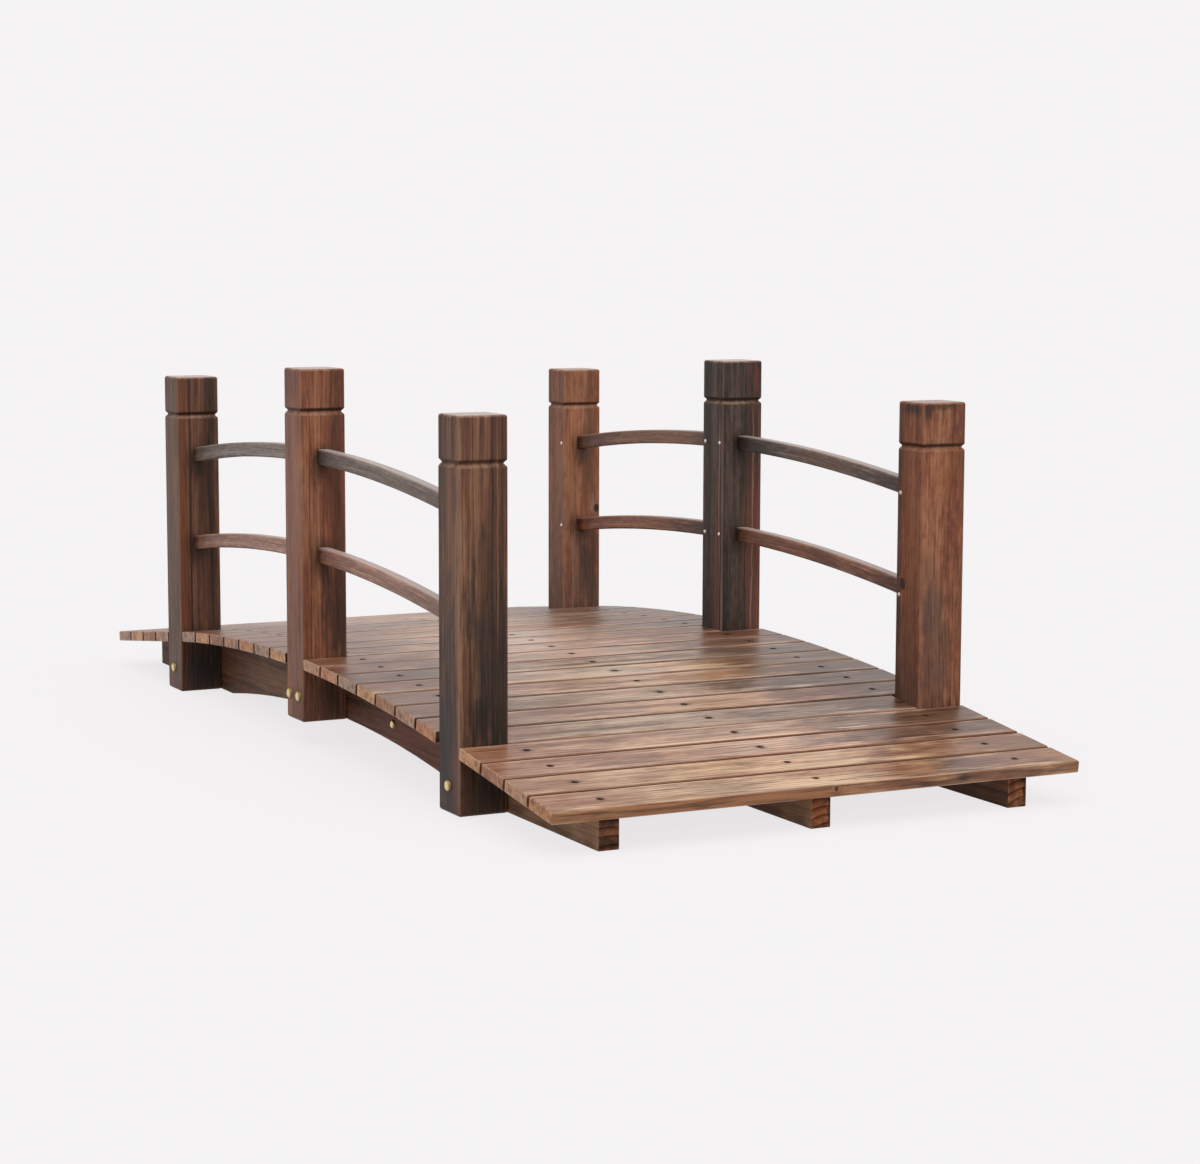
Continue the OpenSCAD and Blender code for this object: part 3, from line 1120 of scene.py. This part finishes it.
@dataclass
class Deck:
    """The slatted deck: its slats' seats on the bowed beams, and the slats' screws."""

    count: int = len(SLAT_BOARDS)
    length: float = 1.524
    slat_w: float = 56.2 * MM
    slat_t: float = 14.4 * MM
    slat_ease: float = 1.2 * MM
    beam_top: float = 99.5 * MM
    beam_r: float = 4.015
    bow_half: float = 0.486
    screw_row: float = 0.26655
    screw_dip: float = 2.0 * MM
    # The lift that every slat has before its own
    lift: float = 0.16

    def seat(self, number: int) -> Triple:
        """Finds where a slat sits on the beams.

        Args:
            number: the slat's number, from 1 at the far end.

        Returns:
            Its place along the bridge, its underside's height and its slope.
        """
        half = (self.count - 1) / 2
        end = math.asin(self.bow_half / self.beam_r)
        reach = self.slat_w / 2 * math.cos(end) + (self.slat_t - self.slat_ease) * math.sin(end)
        x = (number - 1 - half) * (self.length / 2 - reach) / half
        centre = self.beam_top - self.beam_r
        if abs(x) <= self.bow_half:
            return x, centre + math.sqrt(self.beam_r**2 - x**2), math.asin(x / self.beam_r)
        drop = math.tan(end) * (abs(x) - self.bow_half)
        return x, centre + self.beam_r * math.cos(end) - drop, math.copysign(end, x)

    def rows(self) -> dict[str, float]:
        """Lists the rows of screws and their places across the bridge."""
        return {"left": -self.screw_row, "middle": 0.0, "right": self.screw_row}

    def finish(self, number: int) -> FirFinish:
        """Works out a slat's finish.

        Args:
            number: the slat's number, from 1 at the far end.

        Returns:
            The finish.
        """
        board = SLAT_BOARDS[number - 1]
        x, height, slope = self.seat(number)
        middle = x + self.slat_t * math.sin(slope)
        top = height + (self.slat_t - self.screw_dip) * math.cos(slope)
        # Both sides of the deck are darker than its middle, the left one less so near the end
        far, mid, near = number < 12, 11 < number < 22, number > 19
        sides = (
            (-0.32, 0.3, Burn.SMOKE, 0.3 if near else 0.8),
            (-0.34, 0.16, Burn.SIENNA, 0.6 if near else 0.5),
            (0.36, 0.27, Burn.SMOKE, 0.7 if far else 0.58),
            (0.36, 0.34, Burn.BARK, 0.8 if mid else 0.65),
        )
        patches = [
            Patch((middle, y, top), (0.045, reach, 0.04), burn, depth, TOP)
            for y, reach, burn, depth in sides + board.marks
        ]
        knot = None
        if number == self.count:
            edge = x + self.slat_w / 2
            patches += [
                Patch((edge, y, height + up), (0.1, wide, tall), burn, depth, FRONT)
                for y, up, wide, tall, burn, depth in FRONT_EDGE
            ]
            # A small knot breaks out of the edge
            knot = Knot((edge, 0.0105, height + 6 * MM), 2.2 * MM, (0.3, 1.0, 0.7))
        # Each screw stained the wood round it
        patches += [
            Patch((middle, y, top), (8 * MM, 10 * MM, 8 * MM), Burn.CHAR, 0.85)
            for y in self.rows().values()
        ]
        return FirFinish(
            f"slat_{number:02d}",
            Grain.ACROSS,
            (x, 0.37 * math.sin(number * 2.4), height),
            board.tone,
            lift=board.lift + self.lift,
            # The pith lies beside the board, so its ends show upright lines
            pith=((-1) ** number * (0.07 + 0.013 * (number % 5)), 0.02 - 0.012 * (number % 4)),
            ring=(5.2 + 0.8 * (number % 4)) * MM,
            smoke=0.12,
            figure=(1.3, 1.2, 1.7, 0.8) if near else (1.4, 1.6, 2.3, 0.9),
            lines=0.8,
            ends=SLAT_ENDS[number * 7 % len(SLAT_ENDS)],
            end_share=0.75,
            end_lines=-0.25,
            sheen=0.34,
            ior=1.45,
            patches=tuple(patches),
            streaks=tuple(
                Streak(0, middle + aside, width, burn, depth, 0.4 * MM, span)
                for aside, width, burn, depth, span in board.streaks
            ),
            knot=knot,
            flanks=SootyShadedFlanks(
                middle,
                self.slat_w / 2,
                # The deck's own two ends weren't torched
                {1: (1,), self.count: (-1,)}.get(number, (-1, 1)),
                board.flank,
            ),
        )

    def dress(self) -> None:
        """Gives each slat its own board of fir."""
        for number in range(1, self.count + 1):
            dress_solid(self.finish(number), 0.5 * MM)
        LOG.info("deck: %d slats dressed", self.count)

    def screws(self) -> None:
        """Sets a black screw's head in each recess of the deck."""
        steel = BLACK_STEEL.material()
        head = CrossHead().mesh()
        for row, y in self.rows().items():
            shape = bmesh.new()
            for number in range(1, self.count + 1):
                x, height, slope = self.seat(number)
                place = (
                    Matrix.Translation((x, y, height))
                    @ Matrix.Rotation(slope, 4, "Y")
                    @ Matrix.Translation((0.0, 0.0, self.slat_t - self.screw_dip))
                    @ Matrix.Rotation(number * 1.3 + y * 9.0, 4, "Z")
                )
                stamp(shape, head, place)
            add_piece(f"deck_screws_{row}", shape, steel)


@dataclass
class Beams:
    """The three bowed beams, and the bolts along the outer ones."""

    beam_y: float = 262.05 * MM
    face_y: float = 274.55 * MM
    end_x: float = 746 * MM
    bolt_x: float = 181 * MM
    bolt_z: float = 49 * MM

    def dress(self) -> None:
        """Gives each beam its plank of fir."""
        for name, y, lift in (
            ("beam_left", -self.beam_y, 0.06),
            ("beam_middle", 0.0, -0.02),
            ("beam_right", self.beam_y, 0.03),
        ):
            finish = FirFinish(
                name,
                Grain.ALONG,
                (0.0, y, 0.03),
                Tone.UMBER,
                lift=lift,
                pith=(0.11, 0.02 + 0.05 * y),
                ring=9.0 * MM,
                smoke=0.5,
                rubbed_and_highlit=0.7,
                rubbed_and_highlit_from=-2.0,
                ends="#a66c4c",
                end_lines=0.6,
                sheen=0.6,
                ior=1.3,
                patches=self.patches(name, y),
            )
            dress_solid(finish, 0.9 * MM)
        LOG.info("beams: 3 dressed")

    def patches(self, name: str, y: float) -> tuple[Patch, ...]:
        """Lists the patches on a beam: paler at the near end, as painted light on the outer face
        under the deck, and each end in its own way.

        Args:
            name: the beam's name.
            y: its middle across the bridge.

        Returns:
            The patches.
        """
        outer = (0.0, 1.0 if y > 0 else -1.0, 0.0)
        # Each end's marks: their places, their reach and their colours
        ends = {
            "beam_left": (
                (0.0, 0.04, 0.03, 0.014, Burn.SOOT, 0.9),
                (0.0, 0.022, 0.04, 0.03, Burn.SMOKE, 0.45),
                (0.0, 0.008, 0.03, 0.008, Burn.CHAR, 0.7),
            ),
            "beam_middle": (
                (-0.002, 0.02, 0.009, 0.014, Burn.SIENNA, 0.8),
                (0.013, 0.03, 0.005, 0.04, Burn.SOOT, 0.8),
            ),
            "beam_right": (
                (-0.007, 0.028, 0.006, 0.02, Burn.CLARET, 0.9),
                (0.012, 0.03, 0.006, 0.04, Burn.SOOT, 0.8),
            ),
        }
        return (
            # Painted light: the outer face at the near end, in the deck's shade, is made paler
            Patch((0.66, y, 0.035), (0.2, 0.06, 0.06), Burn.AMBER, 0.7, outer),
            Patch((0.67, y, 0.035), (0.2, 0.06, 0.06), Burn.CREAM, 0.4, outer),
            Patch((-0.18, y, 0.04), (0.26, 0.08, 0.05), Burn.ASHEN, 0.45),
            Patch((-0.2, y, 0.04), (0.16, 0.06, 0.03), Burn.AMBER, 0.35),
            Patch((0.33, y, 0.06), (0.2, 0.08, 0.05), Burn.CLARET, 0.65),
            Patch((0.27, y, 0.05), (0.16, 0.08, 0.05), Burn.RUST, 0.45),
            *(
                Patch((self.end_x, y + aside, up), (0.02, wide, tall), burn, depth, FRONT)
                for aside, up, wide, tall, burn, depth in ends[name]
            ),
        )

    def bolts(self) -> None:
        """Sets two domed bolts in the outer face of each outer beam."""
        brass = BRASS.material()
        head = DomedHead(radius=5.8 * MM, height=3.8 * MM).mesh()
        for side, sign in SIDES.items():
            shape = bmesh.new()
            for x in (-self.bolt_x, self.bolt_x):
                spot = Matrix.Translation((x, sign * self.face_y, self.bolt_z))
                stamp(shape, head, spot @ Matrix.Rotation(-sign * math.pi / 2, 4, "X"))
            add_piece(f"beam_bolts_{side}", shape, brass)


@dataclass(frozen=True)
class Stick:
    """What sets one post apart: its place, its tone, its look and its marks.

    A mark is the way its face looks, its place across that face and up the post, its
    reach, its colour and its depth. A line is a streak's settings, its place measured from
    the post's middle. A knot is a mark's first three, its radius and its branch's way. The
    groove is how deep the painted shade on the groove's upper side is.
    """

    side: str
    place: str
    tone: Tone
    look: dict[str, object]
    marks: tuple[tuple[Triple, float, float, Triple, Burn, float], ...]
    lines: tuple[tuple, ...] = ()
    knot: tuple[Triple, float, float, float, Triple] | None = None
    groove: float = 0.85


STICKS = (
    # Brown, lined dark, charred low down
    Stick(
        "left", "near", Tone.UMBER,
        {
            "lift": 0.12, "pith": (-0.05, 0.075), "ring": 3.4 * MM, "lines": 0.55, "dust_and_sheen": 0.9,
            "figure": (1.4, 1.0, 1.5, 0.3),
        },
        (
            (FRONT, 0.015, 0.16, (0.03, 0.045, 0.17), Burn.CHAR, 0.85),
            (FRONT, 0.01, 0.42, (0.03, 0.01, 0.05), Burn.CLARET, 0.35),
            (FRONT, -0.003, 0.11, (0.03, 0.01, 0.025), Burn.SOOT, 0.7),
            # Dark foot below the deck: char, and painted shade under the deck
            (FRONT, 0.0, 0.03, (0.04, 0.05, 0.1), Burn.SOOT, 0.75),
            (OUTWARD, -0.005, 0.07, (0.05, 0.03, 0.18), Burn.CHAR, 0.95),
            (OUTWARD, -0.02, 0.3, (0.012, 0.03, 0.3), Burn.CHAR, 0.6),
            (OUTWARD, 0.016, 0.05, (0.011, 0.03, 0.06), Burn.CLARET, 0.6),
        ),
        (
            (1, 0.0112, 3.0 * MM, Burn.SOOT, 0.8, 0.001),
            (1, 0.0175, 1.6 * MM, Burn.AMBER, 0.4, 0.001, (0.17, 0.47)),
            (1, 0.0235, 2.6 * MM, Burn.SOOT, 0.6, 0.001),
            (1, -0.012, 1.5 * MM, Burn.SOOT, 0.45, 0.0015),
            (0, -0.006, 2.0 * MM, Burn.SOOT, 0.45, 0.001),
            (0, 0.014, 3.0 * MM, Burn.CHAR, 0.4, 0.001),
        ),
        groove=0.6,
    ),
    # Red-brown, paler and pinker outside
    Stick(
        "left", "middle", Tone.RUSSET,
        {
            "lift": 0.12, "pith": (-0.06, 0.06), "ring": 3.6 * MM, "smoke": 0.2, "dust_and_sheen": 0.9,
            "figure": (1.6, 0.8, 1.0, 0.5),
        },
        (
            (OUTWARD, 0.0, 0.3, (0.05, 0.03, 0.3), Burn.ROSY, 0.4),
            (OUTWARD, 0.0, 0.47, (0.05, 0.03, 0.04), Burn.CLARET, 0.6),
            (FRONT, 0.02, 0.3, (0.03, 0.016, 0.2), Burn.CHAR, 0.4),
            (FRONT, 0.02, 0.16, (0.03, 0.03, 0.08), Burn.CHAR, 0.7),
            # Dark foot below the deck: smoke and char, and painted shade under the deck
            (FRONT, 0.0, 0.06, (0.04, 0.05, 0.05), Burn.SMOKE, 0.6),
            (FRONT, 0.01, 0.06, (0.04, 0.02, 0.05), Burn.CHAR, 0.5),
        ),
        ((1, -0.018, 2.0 * MM, Burn.SOOT, 0.5, 0.002),),
    ),
    # Charred, with one warm strip in front
    Stick(
        "left", "far", Tone.CHARRED,
        {"lift": 0.1, "pith": (-0.04, 0.08), "ring": 3.8 * MM, "dust_and_sheen": 0.9},
        (
            (OUTWARD, 0.0, 0.28, (0.06, 0.03, 0.45), Burn.ASHEN, 0.35),
            (FRONT, -0.024, 0.22, (0.03, 0.01, 0.35), Burn.RUST, 0.75),
            # Dark foot below the deck: char, and painted shade under the deck
            (FRONT, 0.0, 0.03, (0.04, 0.05, 0.07), Burn.SOOT, 0.95),
        ),
        ((1, -0.0125, 3.4 * MM, Burn.SOOT, 0.9, 0.0015),),
    ),
    # Bright red-brown, grey low on its inner face
    Stick(
        "right", "near", Tone.RUSSET,
        {
            "lift": 0.2, "pith": (-0.08, 0.07), "ring": 3.4 * MM, "smoke": 0.15, "lines": 0.4,
            "dust_and_sheen": 0.6, "figure": (1.4, 0.3, 0.6, 1.1), "rubbed_and_highlit": 0.25,
        },
        (
            (OUTWARD, 0.0, 0.1, (0.05, 0.03, 0.14), Burn.SMOKE, 0.75),
            (OUTWARD, 0.0, 0.3, (0.05, 0.03, 0.3), Burn.RUST, 0.5),
            (OUTWARD, -0.024, 0.25, (0.012, 0.03, 0.3), Burn.CHAR, 0.6),
            (FRONT, -0.012, 0.13, (0.03, 0.03, 0.13), Burn.SMOKE, 0.65),
            (FRONT, -0.022, 0.19, (0.03, 0.018, 0.03), Burn.SMOKE, 0.7),
            (FRONT, 0.029, 0.3, (0.03, 0.007, 0.3), Burn.BARK, 0.5),
            (FRONT, 0.005, 0.36, (0.03, 0.02, 0.04), Burn.SIENNA, 0.4),
            # Dark foot below the deck: char, and painted shade under the deck
            (FRONT, 0.0, 0.02, (0.04, 0.05, 0.07), Burn.SOOT, 0.9),
            (FRONT, -0.024, 0.442, (0.012, 0.008, 0.016), Burn.CHAR, 0.8),
            (FRONT, -0.004, 0.448, (0.012, 0.022, 0.007), Burn.CHAR, 0.7),
            (OUTWARD, 0.0, 0.443, (0.026, 0.01, 0.01), Burn.CHAR, 0.85),
            (OUTWARD, -0.02, 0.43, (0.012, 0.01, 0.02), Burn.OLIVE, 0.5),
        ),
        (
            (1, 0.0174, 2.6 * MM, Burn.AMBER, 0.45, 0.002, (0.02, 0.26)),
            (1, 0.004, 2.0 * MM, Burn.AMBER, 0.3, 0.002, (0.25, 0.4)),
        ),
        (OUTWARD, -0.0125, 0.228, 6 * MM, (1.0, 0.3, 0.8)),
    ),
    # Charcoal, with a wavy red-brown band in front
    Stick(
        "right", "middle", Tone.SLATE,
        {
            "lift": 0.04, "pith": (-0.05, 0.09), "ring": 4.0 * MM, "smoke": 0.45, "lines": 0.4,
            "dust_and_sheen": 0.9, "figure": (1.6, 1.2, 1.6, 0.9),
        },
        (
            (FRONT, 0.018, 0.22, (0.03, 0.018, 0.26), Burn.CLARET, 0.7),
            (FRONT, 0.005, 0.27, (0.03, 0.01, 0.1), Burn.OLIVE, 0.35),
            (FRONT, 0.022, 0.455, (0.03, 0.008, 0.03), Burn.CLARET, 0.5),
            (OUTWARD, 0.012, 0.17, (0.012, 0.03, 0.1), Burn.CLARET, 0.7),
        ),
        (
            (1, 0.016, 2.8 * MM, Burn.ROSY, 0.8, 0.004, (0.08, 0.44)),
            (1, 0.026, 2.4 * MM, Burn.SIENNA, 0.5, 0.002, (0.05, 0.46)),
            (1, 0.006, 2.0 * MM, Burn.SOOT, 0.8, 0.004),
            (0, 0.02, 4.0 * MM, Burn.ROSY, 0.5, 0.002, (0.05, 0.45)),
            (0, 0.013, 2.2 * MM, Burn.RUST, 0.7, 0.002, (0.05, 0.3)),
        ),
    ),
    # Smooth red-brown, with a knot at its edge
    Stick(
        "right", "far", Tone.RUSSET,
        {
            "lift": 0.26, "pith": (-0.07, 0.05), "ring": 3.6 * MM, "smoke": 0.25,
            "lines": 0.35, "dust_and_sheen": 0.7, "figure": (1.3, 0.4, 0.7, 0.8),
        },
        (
            (OUTWARD, 0.0, 0.1, (0.05, 0.03, 0.14), Burn.SMOKE, 0.6),
            (OUTWARD, 0.0, 0.32, (0.05, 0.03, 0.3), Burn.SMOKE, 0.3),
            (FRONT, 0.019, 0.24, (0.03, 0.009, 0.014), Burn.ROSY, 0.75),
            (FRONT, 0.012, 0.32, (0.03, 0.014, 0.12), Burn.OLIVE, 0.55),
            (FRONT, 0.0, 0.11, (0.03, 0.05, 0.11), Burn.SMOKE, 0.6),
            (FRONT, 0.014, 0.16, (0.03, 0.02, 0.08), Burn.CHAR, 0.6),
            (FRONT, 0.018, 0.25, (0.03, 0.005, 0.02), Burn.ROSY, 0.5),
            # Dark foot below the deck: char, and painted shade under the deck
            (FRONT, 0.0, 0.02, (0.04, 0.05, 0.07), Burn.SOOT, 0.9),
        ),
        ((1, -0.0155, 3.0 * MM, Burn.ROSY, 0.5, 0.002, (0.06, 0.22)),),
        (FRONT, 0.025, 0.239, 5 * MM, (0.3, 1.0, 0.8)),
    ),
)


@dataclass
class Posts:
    """The six grooved posts, their bolts and the nails that pin the rails."""

    post_x: float = 493.09 * MM
    post_y: float = 305.55 * MM
    thick: float = 56 * MM
    wide: float = 62 * MM
    crown: float = 482.6 * MM
    foot: float = 31.5 * MM
    groove: float = 54.4 * MM

    def ways(self, where: int) -> tuple[int, ...]:
        """Lists the faces of a post that rails enter: -1 for the far one, 1 for the near."""
        return (-where,) if where else (-1, 1)

    def entry_char_and_shade(self, x: float, y: float, where: int) -> tuple[Patch, ...]:
        """Darkens a post round the rails that enter it: char, and painted shade where each rail
        meets the post.

        Args:
            x: the post's middle along the bridge.
            y: its middle across the bridge.
            where: -1 for a far post, 0 for a middle one, 1 for a near one.

        Returns:
            One patch a rail.
        """
        return tuple(
            Patch(
                (x + way * self.thick / 2, y, level - x * x / (2 * RAIL_BOW) - 16 * MM),
                (0.02, 0.022, 0.03),
                Burn.SOOT,
                0.6,
                (float(way), 0.0, 0.0),
            )
            for way in self.ways(where)
            for level in RAIL_TOPS.values()
        )

    def finish(self, stick: Stick) -> FirFinish:
        """Works out a post's finish.

        Args:
            stick: what sets the post apart.

        Returns:
            The finish.
        """
        where = PLACES[stick.place]
        x, y = where * self.post_x, SIDES[stick.side] * self.post_y

        def spot(facing: Triple, aside: float, up: float) -> Triple:
            """Finds a place on the front or on the face that looks left."""
            if facing == FRONT:
                return x + self.thick / 2, y + aside, up
            return x + aside, y - self.wide / 2, up

        knot = stick.knot and Knot(spot(*stick.knot[:3]), *stick.knot[3:])
        # Painted shade: the upper side of the groove faces down and lies in the dark, so a dark
        # streak is laid along it
        dark = self.crown - (self.foot if where else 0.0) - self.groove + 2.8 * MM
        return FirFinish(
            f"post_{stick.side}_{stick.place}",
            Grain.UPRIGHT,
            (x, y, 0.2 if where else 0.25),
            stick.tone,
            patches=self.entry_char_and_shade(x, y, where)
            + tuple(
                Patch(spot(facing, aside, up), reach, burn, depth, facing)
                for facing, aside, up, reach, burn, depth in stick.marks
            ),
            streaks=(
                # Painted shade along the groove's upper side
                Streak(2, dark, 5 * MM, Burn.SOOT, stick.groove, 0.3 * MM),
                *(Streak(axis, (x, y)[axis] + at, *rest) for axis, at, *rest in stick.lines),
            ),
            knot=knot,
            **stick.look,
        )

    def dress(self) -> None:
        """Gives each post its own stick of fir."""
        for stick in STICKS:
            dress_solid(self.finish(stick), 1.2 * MM)
        LOG.info("posts: %d dressed", len(STICKS))

    def bolts(self) -> None:
        """Sets the domed bolts low in the posts' outer faces, two in each middle post."""
        brass = BRASS.material()
        head = DomedHead().mesh()
        for side, sign in SIDES.items():
            turn = Matrix.Rotation(-sign * math.pi / 2, 4, "X")
            for spot, where in PLACES.items():
                shape = bmesh.new()
                offsets, z = ((0.0,), 32 * MM) if where else ((-16 * MM, 16 * MM), 64 * MM)
                for dx in offsets:
                    place = (where * self.post_x + dx, sign * (self.post_y + self.wide / 2), z)
                    stamp(shape, head, Matrix.Translation(place) @ turn)
                add_piece(f"post_bolts_{side}_{spot}", shape, brass)

    def nails(self) -> None:
        """Sets the small nails that pin the rails, in the posts' inner faces."""
        zinc = ZINC.material()
        head = DomedHead(radius=2.7 * MM, collar=0.3 * MM, height=0.9 * MM, steps=12, arcs=3)
        head = head.mesh()
        spots = [
            (where * self.post_x + way * (self.thick / 2 - 8 * MM), level)
            for where in PLACES.values()
            for level in RAIL_TOPS.values()
            for way in self.ways(where)
        ]
        for side, sign in SIDES.items():
            turn = Matrix.Rotation(sign * math.pi / 2, 4, "X")
            shape = bmesh.new()
            for x, level in spots:
                drop = RAIL_BOW - math.sqrt(RAIL_BOW**2 - x**2)
                place = (x, sign * (self.post_y - self.wide / 2), level - drop - 9.7 * MM)
                stamp(shape, head, Matrix.Translation(place) @ turn)
            add_piece(f"rail_nails_{side}", shape, zinc)


# The rails' boards; their marks are placed from the middle post outward
RAIL_BOARDS = {
    ("left", "upper", "far"): Board(Tone.DRIFT, 0.1),
    ("left", "upper", "near"): Board(Tone.DRIFT, 0.1, ((0.42, 0.2, Burn.SMOKE, 0.6),)),
    ("left", "lower", "far"): Board(Tone.MAUVE, 0.05),
    ("left", "lower", "near"): Board(
        Tone.MAUVE, 0.15, ((0.1, 0.08, Burn.CLARET, 0.3), (0.4, 0.18, Burn.SMOKE, 0.5))
    ),
    ("right", "upper", "far"): Board(
        Tone.UMBER, 0.3, ((0.04, 0.1, Burn.CHAR, 0.6), (0.44, 0.12, Burn.SMOKE, 0.7))
    ),
    ("right", "upper", "near"): Board(
        Tone.DRIFT, -0.03,
        (
            (0.05, 0.12, Burn.CHAR, 0.75), (0.25, 0.1, Burn.CLARET, 0.4),
            (0.43, 0.14, Burn.CHAR, 0.6),
        ),
    ),
    ("right", "lower", "far"): Board(Tone.RUSSET, 0.2, ((0.07, 0.14, Burn.CHAR, 0.85),)),
    ("right", "lower", "near"): Board(
        Tone.MAUVE, -0.02,
        (
            (0.14, 0.2, Burn.RUST, 0.5), (0.26, 0.05, Burn.CHAR, 0.35),
            (0.43, 0.16, Burn.CHAR, 0.65),
        ),
    ),
}


@dataclass
class Rails:
    """The eight bowed rails, two a bay on each side."""

    post_y: float = 305.55 * MM
    first: float = 28 * MM
    last: float = 465.1 * MM

    def finish(self, side: str, level: str, end: str) -> FirFinish:
        """Works out a rail's finish: charred, and darkened with painted shade, where it enters
        the posts.

        Args:
            side: the row it stands in.
            level: whether it is the upper or the lower one.
            end: the bay it spans.

        Returns:
            The finish.
        """
        board, top = RAIL_BOARDS[side, level, end], RAIL_TOPS[level]
        y, way = SIDES[side] * self.post_y, PLACES[end]
        # Char, and painted shade where the rail goes into the posts
        soot_and_shade = tuple((x, 0.025, Burn.SOOT, 0.9) for x in (self.first, self.last))
        return FirFinish(
            f"rail_{side}_{level}_{end}",
            Grain.ALONG,
            (way * 0.24, y, top),
            board.tone,
            lift=board.lift,
            pith=(0.06, 0.02 * way),
            ring=3.5 * MM,
            smoke=0.4,
            figure=(1.4, 0.8, 1.4, 1.0),
            dust_and_sheen=0.55,
            bow=RAIL_BOW,
            sheen=0.42,
            patches=tuple(
                Patch(
                    (way * x, y, top - x * x / (2 * RAIL_BOW) - 0.01),
                    (reach, 0.03, 0.03),
                    burn,
                    depth,
                )
                for x, reach, burn, depth in board.marks + soot_and_shade
            ),
        )

    def dress(self) -> None:
        """Gives each rail its own strip of fir."""
        for rail in RAIL_BOARDS:
            dress_solid(self.finish(*rail), 0.6 * MM)
        LOG.info("rails: %d dressed", len(RAIL_BOARDS))


def main() -> None:
    """Builds the studio, dresses the bridge and adds its fasteners."""
    logging.basicConfig(level=logging.INFO, format="%(name)s: %(message)s")
    Studio().build()
    deck = Deck()
    deck.dress()
    deck.screws()
    beams = Beams()
    beams.dress()
    beams.bolts()
    posts = Posts()
    posts.dress()
    posts.bolts()
    posts.nails()
    Rails().dress()


if __name__ == "__main__":
    main()
